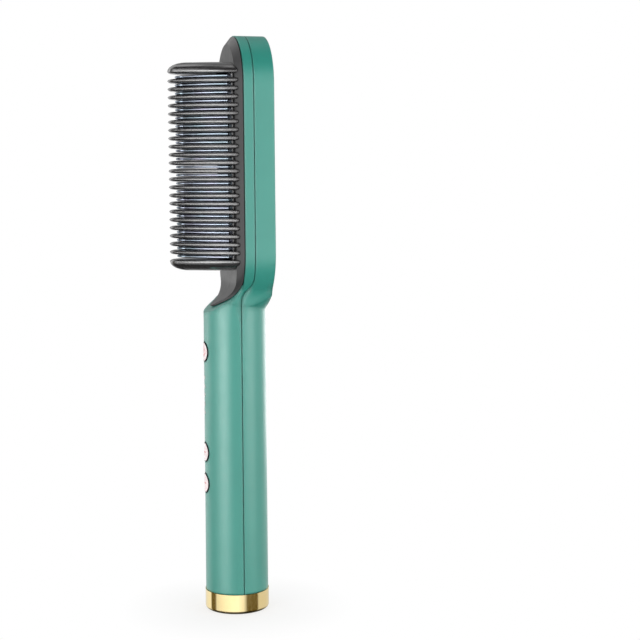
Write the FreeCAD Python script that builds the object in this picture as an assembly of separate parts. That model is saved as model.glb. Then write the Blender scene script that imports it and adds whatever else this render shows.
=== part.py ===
import FreeCAD, Part
import math
import os

# Hair straightening brush: a round handle, a flat capsule head and a guarded heating comb.
# All sizes are in millimetres. +Z runs up the handle, the comb and the buttons face -Y and
# the back panel faces +Y. The origin is the centre of the end cap's flat foot.

# Casing
OVERALL_LENGTH = 265.0
HANDLE_TOP = 144.0            # height of the lowest point of the head's round lower end
HANDLE_FOOT_RADIUS = 14.6
HANDLE_NECK_RADIUS = 14.25
HEAD_TOP_RADIUS = 22.1
HEAD_LOW_RADIUS = 23.1
HEAD_BACK_STEP = 0.05         # the head's back plane lies this far outside the handle's back line
RIM_FRONT = 0.4               # front plane of the head's rim
BACK_EDGE_ROUND = 0.4
SHELL_WALL = 2.0
SEAM_IN_HEAD = 4.7            # where the shells part in the head; in the handle they part at Y = 0
SEAM_JOG_LOW = 1.0            # the parting line starts its jog this far above the handle's top
SEAM_JOG_HIGH = 12.0          # and ends it this far above the handle's top
SEAM_GAP = 0.35

# Neck between the handle and the head
NECK_SIDE_STEP = 0.2          # the neck's sides stand this far outside the handle's
NECK_FILLET = 14.0            # hollow sides between the handle and the head
NECK_TUCK = 0.5               # these sides run this deep into the head's side
NECK_FLARE = 5.5              # hollow round flare from the handle to the neck's flat back and sides
NECK_FLARE_TURN = math.radians(48)  # the flare turns this far, then it runs on straight
NECK_FLARE_DROP = 5.2         # the flare starts this far below the handle's top
NECK_FLARE_TUCK = 0.15        # and this deep inside the handle
NECK_FLARE_BACK = 2.1         # its axis lies this far behind the handle's, so it spares the handle's front
NECK_OVERLAP = 2.0            # the handle runs this far up into the neck
NECK_START = 8.0              # the neck's inside starts this far below the handle's top
DECK_BEND = 13.8              # radius of the sweep from the head's front down to the handle
DECK_TURN = math.radians(56)  # the sweep turns this far, then the deck runs on straight
DECK_DROP = 4.6               # the deck meets the handle's front this far below the handle's top
DECK_WALL = 2.2

# End cap
CAP_HEIGHT = 9.2
CAP_RADIUS = 14.9
CAP_WALL = 1.6
CAP_FLOOR = 1.8
CAP_EDGE_ROUND = 1.5
CAP_CLEARANCE = 0.15

# Bezel on the head's front
BEZEL_EDGE = 0.35             # the sloped rim ends this far inside the head's outline
BEZEL_SHADOW = 0.5            # open joint between the sloped rim's edge and the casing
BEZEL_LIP = 0.8               # width of the casing's lip outside the bezel's rebate
BEZEL_GAP = 0.3
BEZEL_REBATE = 1.0
BEZEL_SLOPE = 3.45            # width of the sloped rim
PLATEAU_Y = -2.8
PLATEAU_BEND = 10.0
PLATEAU_BEND_DROP = 2.8       # the plateau's bend starts this far below the deck's bend
TONGUE_LENGTH = 30.2          # along the surface, from the head's lower centre to the tongue's tip
TONGUE_POWER = 0.85
TONGUE_END_SHARE = 0.965

# Guard comb
RIB_PITCH = 3.66
RIB_THICKNESS = 2.1
RIB_REACH = 29.7              # tip of a rib, from the handle's axis
RIB_TIP_HALF = 5.0
RIB_TIP_ROUND = 2.6
RIB_BULGE = 1.6
RIB_POINT = 2.8               # length of the pointed tip
RIB_NARROWING = 0.05          # share of its width that a rib loses at its top and bottom faces
ROUND_HEIGHTS = (1.0, 0.84, 0.54)   # levels of a rounded edge, as shares of the half thickness
RIB_FOOT_SHARE = 0.5          # share of the sloped rim that a rib's foot covers
RIB_FOOT_HEIGHT = 0.9
COMB_RISE = 0.9               # the comb's middle lies this far above the head's middle
END_STEP = 4.15               # from the last rib to the crest of the end wall
END_DOME = 4.25
END_DOME_TOP = 0.45           # width of the dome's top as a share of the wall's width
END_DOME_LEAN = 8.3           # the dome's top lies this far behind the wall's tip
RAIL_WIDTH = 2.3
RAIL_HEIGHT = 1.1
SEAT_GAP = 0.1

# Heat comb and heater
FIN_GAP = 0.12                # between a fin's bulb and the ribs beside it
FIN_BULB_STEP = 0.12          # a fin is this much thinner than its bulb
FIN_SETBACK = 3.3             # fin tips lie this far behind the rib tips
FIN_TIP_HALF = 4.2
FIN_SHOULDER_HALF = 18.2
FIN_SHOULDER_RISE = 1.5       # the widest place of a fin lies this far in front of its foot
FIN_BULB_LENGTH = 9.0
FIN_BULB_WIDENING = 4.2       # half width that the bulb gains towards its foot
FIN_BULB_SETBACK = 0.8        # from the fin's tip to the bulb's
FIN_BULB_ROUND = 2.0          # the bulb's outline draws in by this much towards its faces
FIN_BULB_BULGE = 0.4
FIN_BULB_HEEL = 0.3
FIN_NARROWING = 0.045         # share of its width that a fin loses at its top and bottom faces
FIN_POINT = 1.2
OPENING_HALF = 13.4
OPENING_MARGIN = 3.0          # from the outermost fin to the end of the bezel's opening
PLATE_GAP = 0.3
HEAT_BASE_THICKNESS = 2.6
FLANGE_LAP = 1.2
FLANGE_END = 6.0
FLANGE_THICKNESS = 1.9
FLANGE_CORNER = 7.0
HEATER_THICKNESS = 2.2
HEATER_HALF_WIDTH = 9.0
FILM_THICKNESS = 0.3
CLAMP_THICKNESS = 1.0
CLAMP_SCREW_SPREAD = 7.0
CLAMP_SCREW_COVER = 0.8       # wall left in front of the clamp screws' holes
SHIELD_THICKNESS = 0.9

# Back of the head
PANEL_MARGIN = 0.75           # from the head's outline to the frame
FRAME_WIDTH = 5.3
FRAME_DEPTH = 1.8
FRAME_PROUD = 0.35
FRAME_BEVEL = 1.2             # width of the frame's sloped outer edge
FRAME_BEVEL_DROP = 0.5
PANEL_CROWN = 1.2
PANEL_GAP = 0.12
BACK_FLOOR = 1.6

# Buttons, lenses and switches
POWER_BUTTON_Z = 121.3
PLUS_BUTTON_Z = 74.5
MINUS_BUTTON_Z = 59.9
BUTTON_RADIUS = 4.4
BUTTON_GAP = 0.5
BUTTON_PROUD = 0.3
BUTTON_TRAVEL = 0.5
BUTTON_FLANGE = 1.0           # how far the hidden flange is wider than the cap
BUTTON_FLANGE_THICKNESS = 0.8
BUTTON_SEAT_GAP = 0.2
BOSS_DEPTH = 1.6
BOSS_WALL = 1.6
STEM_LENGTH = 0.4
STEM_RADIUS = 1.8
PLUNGER_RADIUS = 1.55
PLUNGER_PROUD = 0.7
PLUNGER_SUNK = 0.6
PLUNGER_GAP = 0.15
SWITCH_SIDE = 6.0
SWITCH_HEIGHT = 1.9
LENS_COUNT = 5
LENS_PITCH = 4.1
LENS_RADIUS = 1.0
LENS_GAP = 0.12
LENS_PROUD = 0.1
LENS_MIDDLE_Z = 101.2

# Electronics
BOARD_THICKNESS = 1.2
BOARD_EDGE_GAP = 0.7
BOARD_OVERHANG = 12.0         # past the outermost buttons
BOARD_SCREW_X = 6.6
BOARD_SCREW_INSET = 4.0
SCREW_RADIUS = 1.0
SCREW_HEAD_RADIUS = 1.7
SCREW_HEAD_HEIGHT = 1.2
POST_MERGE = 0.5              # how far the head's screw posts run into the rim's wall
POST_END_WALL = 0.4
BATTERY_LENGTH = 65.0
BATTERY_FOOT = 34.0
BATTERY_EDGE_ROUND = 0.6
BATTERY_WALL_GAP = 0.35
BATTERY_BOARD_GAP = 0.95
CRADLE_WALL = 1.8
TAB_THICKNESS = 0.25
TAB_WIDTH = 4.0
SOCKET_WIDTH = 8.94
SOCKET_HEIGHT = 3.26
SOCKET_LENGTH = 7.3
SOCKET_WALL = 0.3
SOCKET_RECESS = 0.4
SOCKET_GAP = 0.25
CHARGE_BOARD_HALF = 8.0
CHARGE_BOARD_LENGTH = 24.0
LEAD_RADIUS = 0.6
LEAD_CORNER_SHARE = 0.45      # share of the shorter run that a lead's corner takes up
THIN_LEAD_RADIUS = 0.4

# Levels that follow from the sizes above
HEAD_TOP_CENTRE = OVERALL_LENGTH - HEAD_TOP_RADIUS
HEAD_LOW_CENTRE = HANDLE_TOP + HEAD_LOW_RADIUS
HEAD_SPAN = HEAD_TOP_CENTRE - HEAD_LOW_CENTRE
SIDE_LEAN = math.asin((HEAD_LOW_RADIUS - HEAD_TOP_RADIUS) / HEAD_SPAN)
HEAD_BACK = HANDLE_NECK_RADIUS + HEAD_BACK_STEP
NECK_HALF_WIDTH = HANDLE_NECK_RADIUS + NECK_SIDE_STEP
DECK_SLOPE = math.pi / 2 - DECK_TURN
DECK_CENTRE_Y = RIM_FRONT - DECK_BEND
TURN_END_Y = DECK_CENTRE_Y + DECK_BEND * math.cos(DECK_TURN)
TURN_END_Z = HANDLE_TOP - DECK_DROP + (TURN_END_Y + HANDLE_NECK_RADIUS) * math.tan(DECK_SLOPE)
DECK_CENTRE_Z = TURN_END_Z + DECK_BEND * math.sin(DECK_TURN)
BEZEL_INSET = BEZEL_LIP + BEZEL_GAP
PLATEAU_INSET = BEZEL_EDGE + BEZEL_SLOPE
RIM_EDGE_Y = RIM_FRONT - BEZEL_SHADOW
BEZEL_BACK = RIM_FRONT + BEZEL_REBATE
WIDER_END = max(HANDLE_FOOT_RADIUS, HANDLE_NECK_RADIUS)
INNER_RADIUS = min(HANDLE_FOOT_RADIUS, HANDLE_NECK_RADIUS) - SHELL_WALL   # room at the handle's narrower end
RIB_COUNT = 1 + int(HEAD_SPAN / RIB_PITCH + 0.5)
COMB_MIDDLE = (HEAD_TOP_CENTRE + HEAD_LOW_CENTRE) / 2 + COMB_RISE
FIRST_RIB = COMB_MIDDLE - RIB_PITCH * (RIB_COUNT - 1) / 2
LAST_RIB = COMB_MIDDLE + RIB_PITCH * (RIB_COUNT - 1) / 2
FIN_BULB = RIB_PITCH - RIB_THICKNESS - 2 * FIN_GAP
FIN_THICKNESS = FIN_BULB - FIN_BULB_STEP
OPENING_LOW = FIRST_RIB - RIB_PITCH / 2 - OPENING_MARGIN
OPENING_HIGH = LAST_RIB + RIB_PITCH / 2 + OPENING_MARGIN
FLANGE_FRONT = BEZEL_BACK + SEAT_GAP
FLANGE_BACK = FLANGE_FRONT + FLANGE_THICKNESS
HEATER_BACK = FLANGE_BACK + HEATER_THICKNESS
CLAMP_FRONT = HEATER_BACK + FILM_THICKNESS
CLAMP_BACK = CLAMP_FRONT + CLAMP_THICKNESS
RECESS_FLOOR = HEAD_BACK - FRAME_DEPTH
HEAD_INNER_BACK = RECESS_FLOOR - BACK_FLOOR
BOSS_END = -INNER_RADIUS + BOSS_DEPTH
FLANGE_SEAT = BOSS_END + BUTTON_SEAT_GAP
STEM_FRONT = FLANGE_SEAT + BUTTON_FLANGE_THICKNESS
STEM_BACK = STEM_FRONT + STEM_LENGTH
SWITCH_FRONT = STEM_BACK + PLUNGER_PROUD
BOARD_FRONT = SWITCH_FRONT + SWITCH_HEIGHT
BOARD_BACK = BOARD_FRONT + BOARD_THICKNESS
BOARD_LOW = MINUS_BUTTON_Z - BOARD_OVERHANG
BOARD_HIGH = POWER_BUTTON_Z + BOARD_OVERHANG
BOARD_HALF = math.sqrt(INNER_RADIUS ** 2 - BOARD_FRONT ** 2) - BOARD_EDGE_GAP
BATTERY_RADIUS = (INNER_RADIUS - BATTERY_WALL_GAP - BOARD_BACK - BATTERY_BOARD_GAP) / 2
BATTERY_Y = INNER_RADIUS - BATTERY_WALL_GAP - BATTERY_RADIUS
BATTERY_HIGH = BATTERY_FOOT + BATTERY_LENGTH
BUTTON_HEIGHTS = {"power": POWER_BUTTON_Z, "plus": PLUS_BUTTON_Z, "minus": MINUS_BUTTON_Z}
FAR = 2 * OVERALL_LENGTH


# Small helpers

def vec(x, y, z):
    return FreeCAD.Vector(x, y, z)


def line(start, end):
    return Part.LineSegment(start, end).toShape()


def arc(start, middle, end):
    return Part.Arc(start, middle, end).toShape()


def block(x0, x1, y0, y1, z0, z1):
    return Part.makeBox(x1 - x0, y1 - y0, z1 - z0, vec(x0, y0, z0))


def rod(radius, start, end):
    along = end.sub(start)
    return Part.makeCylinder(radius, along.Length, start, along)


def prism(wire, depth):
    return Part.Face(wire).extrude(vec(0, depth, 0))


def joined(shapes):
    return shapes[0].fuse(shapes[1:]).removeSplitter()


def edges_at(shape, axis, value):
    """Edges that lie wholly at one level of an axis."""
    found = []
    for edge in shape.Edges:
        box = edge.BoundBox
        low, high = {"y": (box.YMin, box.YMax), "z": (box.ZMin, box.ZMax)}[axis]
        if abs(low - value) < 1e-4 and abs(high - value) < 1e-4:
            found.append(edge)
    return found


def handle_radius(z):
    share = (z - CAP_HEIGHT) / (HANDLE_TOP - CAP_HEIGHT)
    return HANDLE_FOOT_RADIUS + share * (HANDLE_NECK_RADIUS - HANDLE_FOOT_RADIUS)


def half_width(z, inset):
    """Half the width of the head's capsule outline, drawn in by inset."""
    top_radius = HEAD_TOP_RADIUS - inset
    low_radius = HEAD_LOW_RADIUS - inset
    if z > HEAD_TOP_CENTRE + top_radius * math.sin(SIDE_LEAN):
        return math.sqrt(top_radius ** 2 - (z - HEAD_TOP_CENTRE) ** 2)
    if z < HEAD_LOW_CENTRE:
        return math.sqrt(low_radius ** 2 - (z - HEAD_LOW_CENTRE) ** 2)
    return (low_radius - (z - HEAD_LOW_CENTRE) * math.sin(SIDE_LEAN)) / math.cos(SIDE_LEAN)


def top_corner(inset, y):
    """Where the head's right side line meets its top arc."""
    radius = HEAD_TOP_RADIUS - inset
    return vec(radius * math.cos(SIDE_LEAN), y, HEAD_TOP_CENTRE + radius * math.sin(SIDE_LEAN))


def mirrored(point):
    return vec(-point.x, point.y, point.z)


def capsule_wire(inset, y):
    high = top_corner(inset, y)
    radius = HEAD_LOW_RADIUS - inset
    low = vec(radius * math.cos(SIDE_LEAN), y, HEAD_LOW_CENTRE + radius * math.sin(SIDE_LEAN))
    crown = vec(0, y, OVERALL_LENGTH - inset)
    bottom = vec(0, y, HANDLE_TOP + inset)
    return Part.Wire([line(low, high), arc(high, crown, mirrored(high)),
                      line(mirrored(high), mirrored(low)), arc(mirrored(low), bottom, low)])


def upper_capsule_wire(inset, y):
    """The capsule outline above the head's lower centre, closed by a straight foot."""
    high = top_corner(inset, y)
    foot = vec(half_width(HEAD_LOW_CENTRE, inset), y, HEAD_LOW_CENTRE)
    crown = vec(0, y, OVERALL_LENGTH - inset)
    return Part.Wire([line(foot, high), arc(high, crown, mirrored(high)),
                      line(mirrored(high), mirrored(foot)), line(mirrored(foot), foot)])


def rounded_plate(half, z0, z1, corner, y, depth):
    """Flat plate in the XZ plane with four rounded corners."""
    cut = corner * (1 - math.sqrt(0.5))
    right = half - corner
    spots = [(half, z0 + corner), (half, z1 - corner), (half - cut, z1 - cut), (right, z1),
             (-right, z1), (-half + cut, z1 - cut), (-half, z1 - corner),
             (-half, z0 + corner), (-half + cut, z0 + cut), (-right, z0), (right, z0), (half - cut, z0 + cut)]
    p = [vec(x, y, z) for x, z in spots]
    wire = Part.Wire([line(p[0], p[1]), arc(p[1], p[2], p[3]), line(p[3], p[4]), arc(p[4], p[5], p[6]),
                      line(p[6], p[7]), arc(p[7], p[8], p[9]), line(p[9], p[10]), arc(p[10], p[11], p[0])])
    return prism(wire, depth)


def screw(head_top, tip, head_radius, head_height, radius):
    """Plain machine screw along a line, head first."""
    along = tip.sub(head_top).normalize()
    under_head = head_top.add(along.multiply(head_height))
    return joined([rod(head_radius, head_top, under_head), rod(radius, under_head, tip)])


# Casing

def neck_outline(inset, y):
    """Front view of the neck: handle sides, concave fillets and the head's lower end."""
    blend_radius = HEAD_LOW_RADIUS - NECK_TUCK
    reach = blend_radius + NECK_FILLET
    centre_x = NECK_HALF_WIDTH + NECK_FILLET
    centre_z = HEAD_LOW_CENTRE - math.sqrt(reach ** 2 - centre_x ** 2)
    slant = math.atan2(centre_z - HEAD_LOW_CENTRE, centre_x)
    radius = blend_radius - inset
    fillet = NECK_FILLET + inset
    half = NECK_HALF_WIDTH - inset

    def on_head(angle):
        return vec(radius * math.cos(angle), y, HEAD_LOW_CENTRE + radius * math.sin(angle))

    middle_turn = (slant + math.pi + math.pi) / 2
    middle = vec(centre_x + fillet * math.cos(middle_turn), y, centre_z + fillet * math.sin(middle_turn))
    low = vec(half, y, centre_z)
    foot = vec(half, y, HANDLE_TOP - HANDLE_NECK_RADIUS)
    meet = on_head(slant)
    return Part.Wire([line(foot, low), arc(low, middle, meet), line(meet, mirrored(meet)),
                      arc(mirrored(meet), mirrored(middle), mirrored(low)),
                      line(mirrored(low), mirrored(foot)), line(mirrored(foot), foot)])


def flare_body(inset):
    """Round body that opens upwards like a trumpet and rounds the neck's corners off."""
    start = HANDLE_TOP - NECK_FLARE_DROP
    foot = handle_radius(start) - NECK_FLARE_TUCK - NECK_FLARE_BACK - inset
    bend = NECK_FLARE + inset
    reach = 2 * HEAD_LOW_RADIUS

    def at(x, z):
        return vec(x, NECK_FLARE_BACK, z)

    def on_flare(turn):
        return at(foot + bend * (1 - math.cos(turn)), start + bend * math.sin(turn))

    end = on_flare(NECK_FLARE_TURN)
    rim = at(reach, end.z + (reach - end.x) / math.tan(NECK_FLARE_TURN))
    low = HANDLE_TOP - NECK_START
    corners = [end, rim, at(reach, FAR), at(0, FAR), at(0, low), at(foot, low), at(foot, start)]
    edges = [arc(corners[-1], on_flare(NECK_FLARE_TURN / 2), end)]
    edges += [line(a, b) for a, b in zip(corners, corners[1:])]
    return Part.Face(Part.Wire(edges)).revolve(at(0, 0), vec(0, 0, 1), 360)


def front_cut(offset):
    """Everything in front of the head's rim and of the sweep down to the handle's shoulder."""
    radius = DECK_BEND + offset
    side = -FAR / 2

    def on_sweep(turn):
        return vec(side, DECK_CENTRE_Y + radius * math.cos(turn), DECK_CENTRE_Z - radius * math.sin(turn))

    low = on_sweep(DECK_TURN)
    high = on_sweep(0)
    top_back = vec(side, high.y, FAR)
    top_front = vec(side, -FAR, FAR)
    low_front = vec(side, -FAR, low.z - (low.y + FAR) * math.tan(DECK_SLOPE))
    wire = Part.Wire([arc(low, on_sweep(DECK_TURN / 2), high), line(high, top_back),
                      line(top_back, top_front), line(top_front, low_front), line(low_front, low)])
    return Part.Face(wire).extrude(vec(FAR, 0, 0))


def neck_solid(inset, back):
    front = -2 * HANDLE_NECK_RADIUS
    return prism(neck_outline(inset, front), back - front).common(flare_body(inset))


def handle_solid(inset, low, high):
    return Part.makeCone(handle_radius(low) - inset, handle_radius(high) - inset, high - low, vec(0, 0, low))


def casing_outside():
    head = prism(capsule_wire(0, RIM_FRONT), HEAD_BACK - RIM_FRONT)
    head = head.makeFillet(BACK_EDGE_ROUND, edges_at(head, "y", HEAD_BACK))
    spigot_low = CAP_FLOOR + CAP_CLEARANCE
    spigot = Part.makeCylinder(CAP_RADIUS - CAP_WALL - CAP_CLEARANCE, CAP_HEIGHT - spigot_low + SHELL_WALL,
                               vec(0, 0, spigot_low))
    handle = handle_solid(0, CAP_HEIGHT + CAP_CLEARANCE, HANDLE_TOP + NECK_OVERLAP)
    body = joined([handle, neck_solid(0, HEAD_BACK)]).cut(front_cut(0))
    return joined([body, head, spigot])


def casing_cavity():
    """Hollow of the handle, neck and head, open at the head's front."""
    step = CAP_HEIGHT + SHELL_WALL
    foot_radius = CAP_RADIUS - CAP_WALL - CAP_CLEARANCE - SHELL_WALL
    foot = Part.makeCylinder(foot_radius, step, vec(0, 0, 0))
    front = RIM_FRONT - BEZEL_REBATE
    head = prism(capsule_wire(SHELL_WALL, front), HEAD_INNER_BACK - front)
    deck_depth = BEZEL_REBATE + DECK_WALL
    closed = block(-FAR, FAR, -FAR, RIM_FRONT + deck_depth, 0, OPENING_LOW + FLANGE_CORNER)
    head = head.cut(closed)
    plates = rounded_plate(OPENING_HALF + FLANGE_LAP + 2 * PLATE_GAP, OPENING_LOW - FLANGE_END - PLATE_GAP,
                           OPENING_HIGH + FLANGE_END + PLATE_GAP, FLANGE_CORNER, front,
                           HEAD_INNER_BACK - front)
    handle = handle_solid(SHELL_WALL, step, HANDLE_TOP + NECK_OVERLAP)
    stem = joined([handle, neck_solid(SHELL_WALL, HEAD_INNER_BACK)]).cut(front_cut(deck_depth))
    return joined([foot, stem, head, plates])


def seam_side():
    """Everything in front of the parting surface of the two shells."""
    side = -FAR / 2
    low = vec(side, 0, HANDLE_TOP + SEAM_JOG_LOW)
    high = vec(side, SEAM_IN_HEAD, HANDLE_TOP + SEAM_JOG_HIGH)
    rise = SEAM_JOG_HIGH - SEAM_JOG_LOW
    bend = (rise ** 2 + SEAM_IN_HEAD ** 2) / (4 * SEAM_IN_HEAD)
    half_turn = math.asin(rise / (2 * bend)) / 2
    aside = bend * (1 - math.cos(half_turn))
    along = bend * math.sin(half_turn)
    middle = vec(side, SEAM_IN_HEAD / 2, (low.z + high.z) / 2)
    curve = [arc(low, vec(side, aside, low.z + along), middle),
             arc(middle, vec(side, SEAM_IN_HEAD - aside, high.z - along), high)]
    corners = [high, vec(side, SEAM_IN_HEAD, FAR), vec(side, -FAR, FAR), vec(side, -FAR, -FAR),
               vec(side, 0, -FAR), low]
    straights = [line(start, end) for start, end in zip(corners, corners[1:])]
    return Part.Face(Part.Wire(curve + straights)).extrude(vec(FAR, 0, 0))


def case_screw_places():
    """Corners of the head, outside the heater's flange."""
    places = []
    inset = SHELL_WALL + SCREW_HEAD_RADIUS - POST_MERGE
    for z in (HEAD_LOW_CENTRE + FLANGE_CORNER, HEAD_TOP_CENTRE - FLANGE_CORNER):
        x = half_width(z, inset)
        places += [(x, z), (-x, z)]
    return places


def front_shell(outside, cavity):
    shell = outside.cut(cavity).common(seam_side())
    extras = []
    for x, z in case_screw_places():
        extras.append(rod(SCREW_HEAD_RADIUS + SEAT_GAP, vec(x, BEZEL_BACK, z), vec(x, SEAM_IN_HEAD, z)))
    for z in BUTTON_HEIGHTS.values():
        radius = BUTTON_RADIUS + BUTTON_GAP + BOSS_WALL
        boss = rod(radius, vec(0, -WIDER_END, z), vec(0, BOSS_END, z))
        extras.append(boss.common(handle_solid(SHELL_WALL / 2, CAP_HEIGHT, HANDLE_TOP)))
    for x, z in board_screw_places():
        post = rod(SCREW_HEAD_RADIUS, vec(x, -WIDER_END, z), vec(x, BOARD_FRONT, z))
        extras.append(post.common(handle_solid(SHELL_WALL / 2, CAP_HEIGHT, HANDLE_TOP)))
    shell = joined([shell] + extras)
    holes = [rod(BUTTON_RADIUS + BUTTON_GAP, vec(0, -2 * WIDER_END, z), vec(0, BOSS_END, z))
             for z in BUTTON_HEIGHTS.values()]
    holes += [rod(LENS_RADIUS + LENS_GAP, vec(0, -2 * WIDER_END, z), vec(0, -INNER_RADIUS + 1, z))
              for z in lens_heights()]
    holes += [rod(SCREW_RADIUS, vec(x, BEZEL_BACK + POST_END_WALL, z), vec(x, HEAD_BACK, z))
              for x, z in case_screw_places()]
    holes += [rod(SCREW_RADIUS, vec(x, -INNER_RADIUS + SHELL_WALL, z), vec(x, BOARD_FRONT, z))
              for x, z in board_screw_places()]
    holes.append(prism(upper_capsule_wire(BEZEL_LIP, -FAR / 2), FAR / 2 + BEZEL_BACK))
    holes.append(tongue_loft(BEZEL_GAP, SEAT_GAP, True))
    return shell.cut(holes)


def rear_shell(outside, cavity):
    gap = seam_side()
    gap.translate(vec(0, SEAM_GAP, 0))
    shell = outside.cut(cavity).cut(gap)
    extras = []
    for x, z in case_screw_places():
        extras.append(rod(SCREW_HEAD_RADIUS + SEAT_GAP, vec(x, SEAM_IN_HEAD + SEAM_GAP, z),
                          vec(x, RECESS_FLOOR, z)))
    ledge_front = charge_board_back() + SEAT_GAP
    for side in (1, -1):
        inner = CHARGE_BOARD_HALF - 2 * LEAD_RADIUS
        ledge = block(min(side * inner, side * FAR), max(side * inner, side * FAR),
                      ledge_front, ledge_front + SHELL_WALL / 2, CAP_HEIGHT + SHELL_WALL, charge_board_top())
        extras.append(ledge.common(handle_solid(SHELL_WALL / 2, CAP_HEIGHT, HANDLE_TOP)))
    shell = joined([shell] + extras)
    holes = [prism(capsule_wire(PANEL_MARGIN - PANEL_GAP, RECESS_FLOOR), HEAD_BACK)]
    for x, z in case_screw_places():
        holes.append(rod(SCREW_RADIUS + SEAT_GAP, vec(x, 0, z), vec(x, HEAD_BACK, z)))
        holes.append(rod(SCREW_HEAD_RADIUS - SEAT_GAP, vec(x, RECESS_FLOOR - SCREW_HEAD_HEIGHT, z),
                         vec(x, HEAD_BACK, z)))
    return shell.cut(holes)


def end_cap():
    cap = Part.makeCylinder(CAP_RADIUS, CAP_HEIGHT)
    cap = cap.makeFillet(CAP_EDGE_ROUND, edges_at(cap, "z", 0))
    hollow = Part.makeCylinder(CAP_RADIUS - CAP_WALL, CAP_HEIGHT, vec(0, 0, CAP_FLOOR))
    mouth = socket_body(SOCKET_GAP, -1, CAP_FLOOR + 1)
    return cap.cut([hollow, mouth])


# Bezel

def tongue_half(run):
    """Half width of the tongue at its rim, a run below the head's lower centre."""
    full = half_width(HEAD_LOW_CENTRE, BEZEL_EDGE)
    return full * math.cos(math.pi / 2 * run / TONGUE_LENGTH) ** TONGUE_POWER


def tongue_slope(run):
    """Width of the tongue's sloped rim."""
    return BEZEL_SLOPE / math.cos(SIDE_LEAN) * math.sqrt(tongue_half(run) / tongue_half(0))


def bezel_half_widths(z):
    """Half widths of the bezel's plateau and of its rim at one height."""
    if z >= HEAD_LOW_CENTRE:
        return half_width(z, PLATEAU_INSET), half_width(z, BEZEL_EDGE)
    run = HEAD_LOW_CENTRE - z
    straight = HEAD_LOW_CENTRE - DECK_CENTRE_Z
    plateau_run = run / (1 + PLATEAU_BEND_DROP / straight)
    return tongue_half(plateau_run) - tongue_slope(plateau_run), tongue_half(run)


def tongue_stations():
    """Places along the tongue: half width, rim point and plateau point, from the head down."""
    straight = HEAD_LOW_CENTRE - DECK_CENTRE_Z
    stations = 14
    found = []
    for step in range(stations + 1):
        run = TONGUE_LENGTH * TONGUE_END_SHARE * step / stations
        half = tongue_half(run)
        slope = tongue_slope(run)
        down = min(run, straight)
        turn = min(max(0, run - straight) / DECK_BEND, DECK_TURN)
        slide = max(0, run - straight - DECK_BEND * DECK_TURN)
        ahead = slide * math.cos(DECK_SLOPE)
        low = HEAD_LOW_CENTRE - down - slide * math.sin(DECK_SLOPE)
        rim = (DECK_CENTRE_Y + DECK_BEND * math.cos(turn) - ahead, low - DECK_BEND * math.sin(turn))
        plateau = (PLATEAU_Y - PLATEAU_BEND * (1 - math.cos(turn)) - ahead,
                   low - PLATEAU_BEND_DROP * down / straight - PLATEAU_BEND * math.sin(turn))
        found.append((half, half - slope, rim, plateau))
    return found


def tongue_loft(widen, deepen, for_rebate):
    """The bezel's tongue, or with for_rebate the hollow in the deck that takes it."""
    sections = []
    for half, flat_half, rim, plateau in tongue_stations():
        away_y = rim[0] - plateau[0]
        away_z = rim[1] - plateau[1]
        length = math.hypot(away_y, away_z)
        depth = (BEZEL_REBATE + deepen) / length
        low = (rim[0] + depth * away_y, rim[1] + depth * away_z)
        lift = BEZEL_SHADOW / length
        edge = (rim[0] - lift * away_y, rim[1] - lift * away_z)
        wide = half - (BEZEL_INSET - BEZEL_EDGE) / math.cos(SIDE_LEAN) + widen
        if for_rebate:
            corners = [(wide, low), (wide, plateau), (-wide, plateau), (-wide, low)]
        else:
            corners = [(wide, low), (wide, edge), (half, edge), (flat_half, plateau),
                       (-flat_half, plateau), (-half, edge), (-wide, edge), (-wide, low)]
        points = [vec(x, spot[0], spot[1]) for x, spot in corners]
        sections.append(Part.makePolygon(points + points[:1]))
    return Part.makeLoft(sections, True, False)


def comb_bezel():
    flange = prism(upper_capsule_wire(BEZEL_INSET, RIM_EDGE_Y), BEZEL_BACK - RIM_EDGE_Y)
    slope = Part.makeLoft([upper_capsule_wire(BEZEL_EDGE, RIM_EDGE_Y),
                           upper_capsule_wire(PLATEAU_INSET, PLATEAU_Y)], True, True)
    plate = joined([flange, slope, tongue_loft(0, 0, False)])
    opening = rounded_plate(OPENING_HALF, OPENING_LOW, OPENING_HIGH, OPENING_MARGIN,
                            PLATEAU_Y - 1, BEZEL_BACK - PLATEAU_Y + 2)
    holes = [opening]
    holes += [rod(SCREW_RADIUS, vec(x, PLATEAU_Y + CLAMP_SCREW_COVER, z), vec(x, HEAD_BACK, z))
              for x, z in clamp_screw_places()]
    return plate.cut(holes)


# Guard comb

def plan_wire(points, z):
    """Closed plan outline from its right half: straight root, then side arc and tip arc."""
    right = [vec(x, y, z) for x, y in points["root"]]
    side = vec(points["side"][0], points["side"][1], z)
    shoulder = vec(points["shoulder"][0], points["shoulder"][1], z)
    tip = vec(0, points["tip"], z)
    edges = [line(mirrored(right[0]), right[0])]
    for start, end in zip(right, right[1:]):
        edges.append(line(start, end))
    edges.append(arc(right[-1], side, shoulder))
    edges.append(arc(shoulder, tip, mirrored(shoulder)))
    edges.append(arc(mirrored(shoulder), mirrored(side), mirrored(right[-1])))
    for start, end in zip(right[::-1], right[-2::-1]):
        edges.append(line(mirrored(start), mirrored(end)))
    return Part.Wire(edges)


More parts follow.
